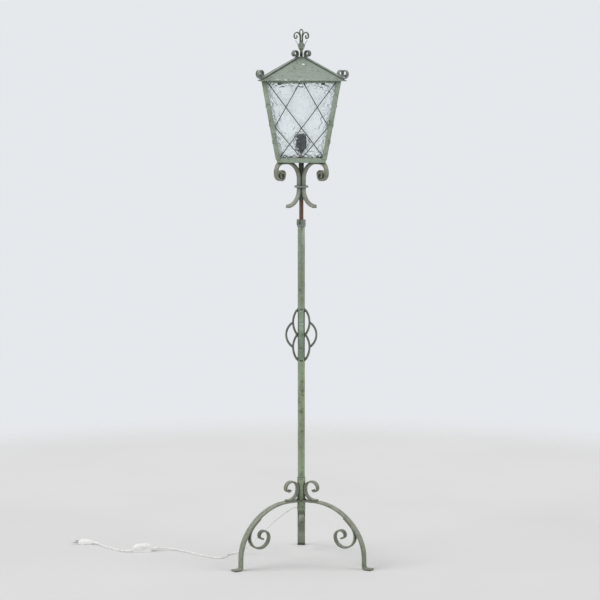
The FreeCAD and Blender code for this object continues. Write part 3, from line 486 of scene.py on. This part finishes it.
def makePlastic(name, colour, roughness, grain, soil=0.0):
    material, bench, shader = newMaterial(name, roughness)
    place = bench.add("ShaderNodeTexCoord", "Object")
    mottle = bench.noise(place, 45, 4, 0.6)
    dull = tuple(channel * 0.82 for channel in colour)
    tone = bench.mix(bench.span(mottle, 0.35, 0.7), solid(colour), solid(dull))
    if soil:
        tone = bench.mix(bench.span(bench.noise(place, 160, 5, 0.7), 0.6, 0.72, 0.0, soil), tone,
                         (0.42, 0.41, 0.38, 1))
    bench.plug(shader["Base Color"], tone)
    bench.plug(shader["Roughness"], bench.span(mottle, 0.3, 0.7, roughness, roughness + 0.12))
    bench.plug(shader["Normal"], bench.bump(bench.noise(place, grain), 0.25, 0.0001))
    return material


def makeMetal(name, colour, dark, roughness, scale):
    material, bench, shader = newMaterial(name, roughness, metallic=1.0)
    place = bench.add("ShaderNodeTexCoord", "Object")
    tarnish = bench.noise(place, scale, 5, 0.65)
    bench.plug(shader["Base Color"], bench.mix(bench.span(tarnish, 0.35, 0.7), solid(colour), solid(dark)))
    bench.plug(shader["Roughness"], bench.span(tarnish, 0.3, 0.7, roughness, roughness + 0.2))
    bench.plug(shader["Normal"], bench.bump(bench.noise(place, scale * 6), 0.2, 0.0003))
    return material


materials["roofPaint"] = makeRoofPaint(roofLook)
materials["rustyRod"] = makeRust(rustLook)
materials["rolledGlass"] = makeGlass(glassLook)
materials["blackPlastic"] = makePlastic("blackPlastic", (0.035, 0.047, 0.055), 0.12, 900)
materials["whitePlastic"] = makePlastic("whitePlastic", (0.94, 0.94, 0.93), 0.28, 700, 0.05)
materials["whiteSheath"] = makePlastic("whiteSheath", (0.86, 0.86, 0.84), 0.45, 800, 0.12)
materials["porcelain"] = makePlastic("porcelain", (0.72, 0.70, 0.65), 0.18, 200, 0.3)
materials["plainSteel"] = makeMetal("plainSteel", (0.50, 0.49, 0.46), (0.26, 0.22, 0.18), 0.35, 120.0)
materials["agedBrass"] = makeMetal("agedBrass", (0.72, 0.55, 0.27), (0.35, 0.24, 0.11), 0.3, 90.0)
print("materials made:", len(materials))


def addPiece(name, mesh, body, material, slot, *stoodFor):
    piece = bpy.data.objects.new(name, mesh)
    bpy.context.scene.collection.objects.link(piece)
    mesh.materials.clear()
    mesh.materials.append(materials[material])
    if stoodFor:
        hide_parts(*stoodFor)
    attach(piece, body)
    return piece


def camel(name):
    first, *rest = name.split("_")
    return first + "".join(word.capitalize() for word in rest)


# A copy of a solid with its points joined, and its flats in one face each where "flatten" is set
def joined(name, flatten):
    shape = bmesh.new()
    shape.from_mesh(nodes[name].data)
    bmesh.ops.remove_doubles(shape, verts=shape.verts, dist=meshLook["joinWithin"])
    if flatten:
        bmesh.ops.dissolve_limit(shape, angle_limit=math.radians(meshLook["flatWithin"]), verts=shape.verts,
                                 edges=shape.edges)
    return shape


def areaOf(shape):
    return sum(face.calc_area() for face in shape.faces)


def meshOf(shape, name, creaseFrom):
    mesh = bpy.data.meshes.new(name)
    shape.to_mesh(mesh)
    shape.free()
    mesh.shade_smooth()
    mesh.set_sharp_from_angle(angle=math.radians(creaseFrom))
    return mesh


# A solid with its corners rounded off. Where a flat has a hole in it, the solid stays in triangles
def softened(name, edge):
    plain, shape = joined(name, False), joined(name, True)
    closed = all(len(e.link_faces) == 2 for e in shape.edges)
    changed = abs(areaOf(shape) / areaOf(plain) - 1) > meshLook["areaMayChange"]
    if name.startswith("ornament") or changed or not closed:
        plain, shape = shape, plain
        print("kept in triangles:", name)
    plain.free()
    if edge:
        steep = math.radians(meshLook["roundFrom"])
        corners = [e for e in shape.edges if len(e.link_faces) == 2 and e.calc_face_angle() > steep]
        bmesh.ops.bevel(shape, geom=corners, offset=edge, segments=meshLook["roundSteps"], profile=0.5,
                        affect="EDGES", clamp_overlap=False)
    bmesh.ops.triangulate(shape, faces=[f for f in shape.faces if len(f.verts) > 4])
    return meshOf(shape, camel(name), meshLook["creaseFrom"])


# Nodes, material, and how far their corners are rounded off in m
rounded = [
    ("leg_rear leg_left leg_right", "basePaint", 0.0011),
    ("inner_scroll_rear inner_scroll_left inner_scroll_right", "basePaint", 0.0009),
    ("top_scroll_rear top_scroll_left top_scroll_right", "basePaint", 0.0009),
    # The side bars and the front and rear bars take shaded and lit copies of one paint: painted shade on
    # the sides, painted light on the front and rear
    ("ornament_right ornament_left", "ornamentPaint", 0.0006),
    ("ornament_front ornament_rear", "frontPaint", 0.0006),
    ("base_sleeve pole_tube", "polePaint", 0.0004),
    ("pole_collar clamp_screw", "collarPaint", 0.0007),
    ("brackets", "bracketPaint", 0.0010),
    ("bracket_ring", "bracketPaint", 0),
    ("lantern_socket", "socketPaint", 0.0003),
    ("bottom_rail top_rail", "lanternPaint", 0.0004),
    ("posts", "lanternPaint", 0.0005),
    ("floor_plate roof_lugs", "lanternPaint", 0.0003),
    ("hip_straps", "strapPaint", 0.0007),
    ("finial_cup", "lanternPaint", 0),
    ("finial_wires", "ornamentPaint", 0),
    ("roof_sheet", "roofPaint", 0.0004),
    ("lattice_front lattice_right lattice_rear lattice_left", "wirePaint", 0),
    ("glass_clips", "lanternPaint", 0.0002),
    ("rod_tube", "rustyRod", 0.0003),
    ("washer locknut nipple rod_guide finial_nut", "plainSteel", 0.0003),
    ("screw_shell centre_contact", "agedBrass", 0.0001),
    ("plug_pins", "plainSteel", 0.0004),
    ("holder_insulator", "porcelain", 0.0003),
    ("holder_cap holder_shell", "blackPlastic", 0.0004),
    ("switch_lower_shell switch_upper_shell switch_rocker", "whitePlastic", 0.0008),
    ("plug_body", "whitePlastic", 0.002),
    ("cord_bush", "whitePlastic", 0.0003),
    ("pole_flex rod_flex", "whiteSheath", 0),
]
for names, material, edge in rounded:
    for name in names.split():
        addPiece(camel(name), softened(name, edge), bodyOf[name], material, slotOf[name], name)
print("solids rounded off")

# Each pane: a grid that is pushed in by a smooth random height, so that both of its faces ripple
paneLook = {"cuts": 60, "ripple": 0.0007, "waves": 62.0, "longEdge": 0.02,
            "sideShift": 9}


def ripplePane(name, look):
    shape = joined(name, True)
    middle = sum((vertex.co for vertex in shape.verts), Vector()) / len(shape.verts)
    sides = sorted(shape.faces, key=lambda face: face.calc_area())[-2:]
    inward = {face: -face.normal.copy() for face in sides}
    longEdges = [edge for edge in shape.edges if edge.calc_length() > look["longEdge"]]
    bmesh.ops.subdivide_edges(shape, edges=longEdges, cuts=look["cuts"], use_grid_fill=True)
    print(name, "points", len(shape.verts))
    axis = list(inward.values())[0]
    for vertex in shape.verts:
        side = 1 if (vertex.co - middle).dot(axis) < 0 else -1
        height = noise.noise(vertex.co * look["waves"] + Vector((0, 0, look["sideShift"] * side)))
        vertex.co += axis * side * look["ripple"] * (0.5 + 0.5 * height)
    return meshOf(shape, camel(name), meshLook["fineCreaseFrom"])


for side in ("front", "right", "rear", "left"):
    name = "glass_" + side
    addPiece(camel(name), ripplePane(name, paneLook), "lantern", "rolledGlass", slotOf[name], name)
print("panes rippled")


# Rings of changing radius threaded on a line of points
def sleeveAlong(name, line, radii, sides=24):
    shape = bmesh.new()
    rings = []
    for index, (centre, radius) in enumerate(zip(line, radii)):
        ahead = line[min(index + 1, len(line) - 1)] - line[max(index - 1, 0)]
        turn = ahead.to_track_quat("Z", "Y")
        ring = [shape.verts.new(centre + turn @ Vector((radius * math.cos(math.tau * k / sides),
                                                        radius * math.sin(math.tau * k / sides), 0)))
                for k in range(sides)]
        rings.append(ring)
    for low, high in zip(rings, rings[1:]):
        for k in range(sides):
            shape.faces.new((low[k], low[(k + 1) % sides], high[(k + 1) % sides], high[k]))
    shape.faces.new(list(reversed(rings[0])))
    shape.faces.new(rings[-1])
    return meshOf(shape, name, meshLook["fineCreaseFrom"])


# Strain reliefs: tapered sleeves with a few grooves, along the cord's own line
relief = {"length": 0.022, "rootRadius": 0.0037, "tipRadius": 0.0029, "steps": 44, "grooves": 4,
          "groove": 0.0004}


def pointAlong(line, distance):
    for first, second in zip(line, line[1:]):
        step = (second - first).length
        if distance <= step:
            return first.lerp(second, distance / step)
        distance -= step
    return line[-1]


def makeRelief(name, line, look):
    steps = [index / look["steps"] for index in range(look["steps"] + 1)]
    centres = [pointAlong(line, share * look["length"]) for share in steps]
    radii = []
    for share in steps:
        taper = look["rootRadius"] + (look["tipRadius"] - look["rootRadius"]) * share
        wave = math.sin(math.pi * (look["grooves"] * 2 + 1) * share)
        radii.append(taper - (look["groove"] if wave < -0.2 else 0))
    return addPiece(name, sleeveAlong(name, centres, radii), "stand", "whitePlastic", "white_plastic")


leadRoute, tailRoute = cords["mainsLead"]["route"], cords["mainsTail"]["route"]
reliefs = {"mainsLead": [makeRelief("reliefLeadEnd", leadRoute[::-1], relief)],
           "mainsTail": [makeRelief("reliefTailStart", tailRoute, relief),
                         makeRelief("reliefPlug", tailRoute[::-1], relief)]}
pieceOf = {name: bpy.data.objects[camel(name)] for name in nodes if camel(name) in bpy.data.objects}
for name, look in cords.items():
    cord = madeCords[name]
    cord.data.materials.append(materials["whiteSheath"])
    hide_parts(look["node"])
    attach(cord, "stand")
    exitPoint = tuple(along / 1000 for along in look["points"][0])
print("cords dressed")


# Beads: the range of their sizes, and how far each is shifted, as shares of the bead's radius
beadLook = {"sizes": (0.7, 1.25), "shift": 0.3, "rounds": 2}


# Weld beads: a mesh of path edges becomes a row of small uneven balls
def weldTree():
    tree = bpy.data.node_groups.new("weldBeads", "GeometryNodeTree")
    sockets = {}
    tree.interface.new_socket(name="Paths", in_out="INPUT", socket_type="NodeSocketGeometry")
    for label, kind, value in (("Spacing", "Float", 0.0016), ("Bead size", "Float", 0.0016),
                               ("Seed", "Int", 1)):
        socket = tree.interface.new_socket(name=label, in_out="INPUT", socket_type="NodeSocket" + kind)
        socket.default_value = value
        sockets[label] = socket.identifier
    material = tree.interface.new_socket(name="Finish", in_out="INPUT", socket_type="NodeSocketMaterial")
    sockets["Finish"] = material.identifier
    tree.interface.new_socket(name="Beads", in_out="OUTPUT", socket_type="NodeSocketGeometry")
    add, link = tree.nodes.new, tree.links.new
    given, out = add("NodeGroupInput").outputs, add("NodeGroupOutput").inputs
    toCurve, resample = add("GeometryNodeMeshToCurve"), add("GeometryNodeResampleCurve")
    resample.mode = "LENGTH"
    ball, placed = add("GeometryNodeMeshIcoSphere"), add("GeometryNodeInstanceOnPoints")
    ball.inputs["Subdivisions"].default_value = beadLook["rounds"]
    size, shift = add("FunctionNodeRandomValue"), add("FunctionNodeRandomValue")
    size.data_type = "FLOAT"
    size.inputs[2].default_value, size.inputs[3].default_value = beadLook["sizes"]
    shift.data_type = "FLOAT_VECTOR"
    shift.inputs[0].default_value, shift.inputs[1].default_value = (-1, -1, -1), (1, 1, 1)
    scaled = add("ShaderNodeVectorMath")
    scaled.operation = "SCALE"
    reach = add("ShaderNodeMath")
    reach.operation = "MULTIPLY"
    reach.inputs[1].default_value = beadLook["shift"]
    move, real = add("GeometryNodeSetPosition"), add("GeometryNodeRealizeInstances")
    paint = add("GeometryNodeSetMaterial")
    smooth = add("GeometryNodeSetShadeSmooth")
    link(given["Paths"], toCurve.inputs[0])
    link(toCurve.outputs[0], resample.inputs["Curve"])
    link(given["Spacing"], resample.inputs["Length"])
    link(given["Bead size"], ball.inputs["Radius"])
    link(given["Seed"], size.inputs["Seed"])
    link(given["Seed"], shift.inputs["Seed"])
    link(given["Bead size"], reach.inputs[0])
    link(shift.outputs[0], scaled.inputs[0])
    link(reach.outputs[0], scaled.inputs["Scale"])
    link(resample.outputs[0], move.inputs["Geometry"])
    link(scaled.outputs[0], move.inputs["Offset"])
    link(move.outputs[0], placed.inputs["Points"])
    link(ball.outputs[0], placed.inputs["Instance"])
    link(size.outputs[1], placed.inputs["Scale"])
    link(placed.outputs[0], real.inputs[0])
    link(real.outputs[0], smooth.inputs[0])
    link(smooth.outputs[0], paint.inputs[0])
    link(given["Finish"], paint.inputs["Material"])
    link(paint.outputs[0], out["Beads"])
    return tree, sockets


weldBeads, weldSockets = weldTree()


def circlePath(radius, height, steps=48):
    return [Vector((radius * math.cos(math.radians(360 * k / steps)),
                    radius * math.sin(math.radians(360 * k / steps)), height))
            for k in range(steps + 1)]


def weld(name, paths, body, material, slot, spacing, size, seed):
    shape = bmesh.new()
    for path in paths:
        points = [shape.verts.new(place) for place in path]
        for first, second in zip(points, points[1:]):
            shape.edges.new((first, second))
    mesh = bpy.data.meshes.new(name + "Paths")
    shape.to_mesh(mesh)
    shape.free()
    holder = bpy.data.objects.new(name + "Paths", mesh)
    bpy.context.scene.collection.objects.link(holder)
    beads = holder.modifiers.new("beads", "NODES")
    beads.node_group = weldBeads
    values = {"Spacing": spacing, "Bead size": size, "Seed": seed, "Finish": materials[material]}
    for label, value in values.items():
        beads[weldSockets[label]] = value
    made = bpy.data.meshes.new_from_object(holder.evaluated_get(bpy.context.evaluated_depsgraph_get()))
    bpy.data.objects.remove(holder)
    made.name = name
    return addPiece(name, made, body, material, slot)


hubWeld = {"radius": 0.0126, "height": 0.1957, "spacing": 0.0018, "size": 0.0021}
weld("hubWeld", [circlePath(hubWeld["radius"], hubWeld["height"])], "stand", "basePaint", "base_iron",
     hubWeld["spacing"], hubWeld["size"], 3)

# Where each bar of the open cage meets the pole
cageWeld = {"radius": 0.0113, "heights": (0.6305, 0.706, 0.7820), "halfWidth": 0.0035, "reach": 0.004,
            "spacing": 0.0016, "size": 0.0017}
cagePaths = []
for turn in range(4):
    across = Matrix.Rotation(math.radians(90 * turn), 3, "Z")
    for height in cageWeld["heights"]:
        for side in (-1, 1):
            cagePaths.append([across @ Vector((cageWeld["radius"], side * cageWeld["halfWidth"],
                                               height + rise))
                              for rise in (-cageWeld["reach"], 0, cageWeld["reach"])])
weld("cageWelds", cagePaths, "stand", "ornamentPaint", "base_iron", cageWeld["spacing"], cageWeld["size"],
     5)

# Small weld spots on the outer sides of the corner posts
postWeld = {"heights": (1.2950, 1.3435, 1.4004), "inset": 0.006, "reach": 0.0035, "spacing": 0.0012,
            "size": 0.0013}
# The lantern's half width at its foot and its top: (height, half width)
boxSides = {"low": (1.2325, 0.0745), "high": (1.474, 0.1175)}


def boxHalf(height):
    (low, lowHalf), (high, highHalf) = boxSides["low"], boxSides["high"]
    return lowHalf + (highHalf - lowHalf) * (height - low) / (high - low)


postPaths = []
for height in postWeld["heights"]:
    for side in (-1, 1):
        for end in (-1, 1):
            postPaths.append([Vector((side * boxHalf(height + rise),
                                      end * (boxHalf(height) - postWeld["inset"]),
                                      height + rise)) for rise in (-postWeld["reach"], 0,
                                                                   postWeld["reach"])])
weld("postWelds", postPaths, "lantern", "lanternPaint", "lantern_iron", postWeld["spacing"],
     postWeld["size"], 7)
print("welds laid")

# The floor is a disc that fades into the backdrop, which only the world shows
studio = {"floorRadius": 2.7, "fadeFrom": 2.05, "floor": (0.735, 0.737, 0.732),
          "backdrop": (0.785, 0.808, 0.838),
          "fill": 0.5}


def makeFloor(look):
    shape = bmesh.new()
    bmesh.ops.create_circle(shape, cap_ends=True, segments=96, radius=look["floorRadius"])
    mesh = bpy.data.meshes.new("studioFloor")
    shape.to_mesh(mesh)
    shape.free()
    floor = bpy.data.objects.new("studioFloor", mesh)
    bpy.context.scene.collection.objects.link(floor)
    material, bench, shader = newMaterial("floorFinish", roughness=0.9)
    place = bench.add("ShaderNodeTexCoord", "Object")
    away = bench.vector("LENGTH", place, (0, 0, 0), output="Value")
    bench.plug(shader["Alpha"], bench.span(away, look["fadeFrom"], look["floorRadius"], 1.0, 0.0))
    cloud = bench.noise(place, 1.3, 2)
    dim = tuple(channel * 0.97 for channel in look["floor"])
    bench.plug(shader["Base Color"], bench.mix(bench.span(cloud, 0.3, 0.7), solid(look["floor"]),
                                               solid(dim)))
    mesh.materials.append(material)


def makeWorld(look):
    world = bpy.data.worlds.new("studioWorld")
    world.use_nodes = True
    bpy.context.scene.world = world
    world.node_tree.nodes.clear()
    bench = Bench(world.node_tree)
    path = bench.nodes.new("ShaderNodeLightPath").outputs
    seen = bench.math("MAXIMUM", path["Is Camera Ray"], bench.math("MAXIMUM", path["Is Glossy Ray"],
                                                                   path["Is Transmission Ray"]))
    light = bench.add("ShaderNodeBackground", Color=(1, 1, 1, 1), Strength=look["fill"])
    shown = bench.add("ShaderNodeBackground", Color=solid(look["backdrop"]), Strength=1.0)
    either = bench.nodes.new("ShaderNodeMixShader")
    bench.plug(either.inputs[0], seen)
    bench.plug(either.inputs[1], light)
    bench.plug(either.inputs[2], shown)
    out = bench.nodes.new("ShaderNodeOutputWorld")
    bench.plug(out.inputs[0], either.outputs[0])


# Soft suns from both sides: where each stands, its strength and how wide it is in degrees
suns = {
    "leftSun": {"from": (-0.9, -0.32, 0.72), "strength": 1.6, "angle": 45},
    "rightSun": {"from": (0.95, -0.28, 0.55), "strength": 1.15, "angle": 50},
}


def makeSun(name, look):
    data = bpy.data.lights.new(name, "SUN")
    data.energy = look["strength"]
    data.angle = math.radians(look["angle"])
    sun = bpy.data.objects.new(name, data)
    sun.rotation_euler = Vector(look["from"]).to_track_quat("Z", "Y").to_euler()
    bpy.context.scene.collection.objects.link(sun)


makeFloor(studio)
makeWorld(studio)
for name, look in suns.items():
    makeSun(name, look)
print("studio made")
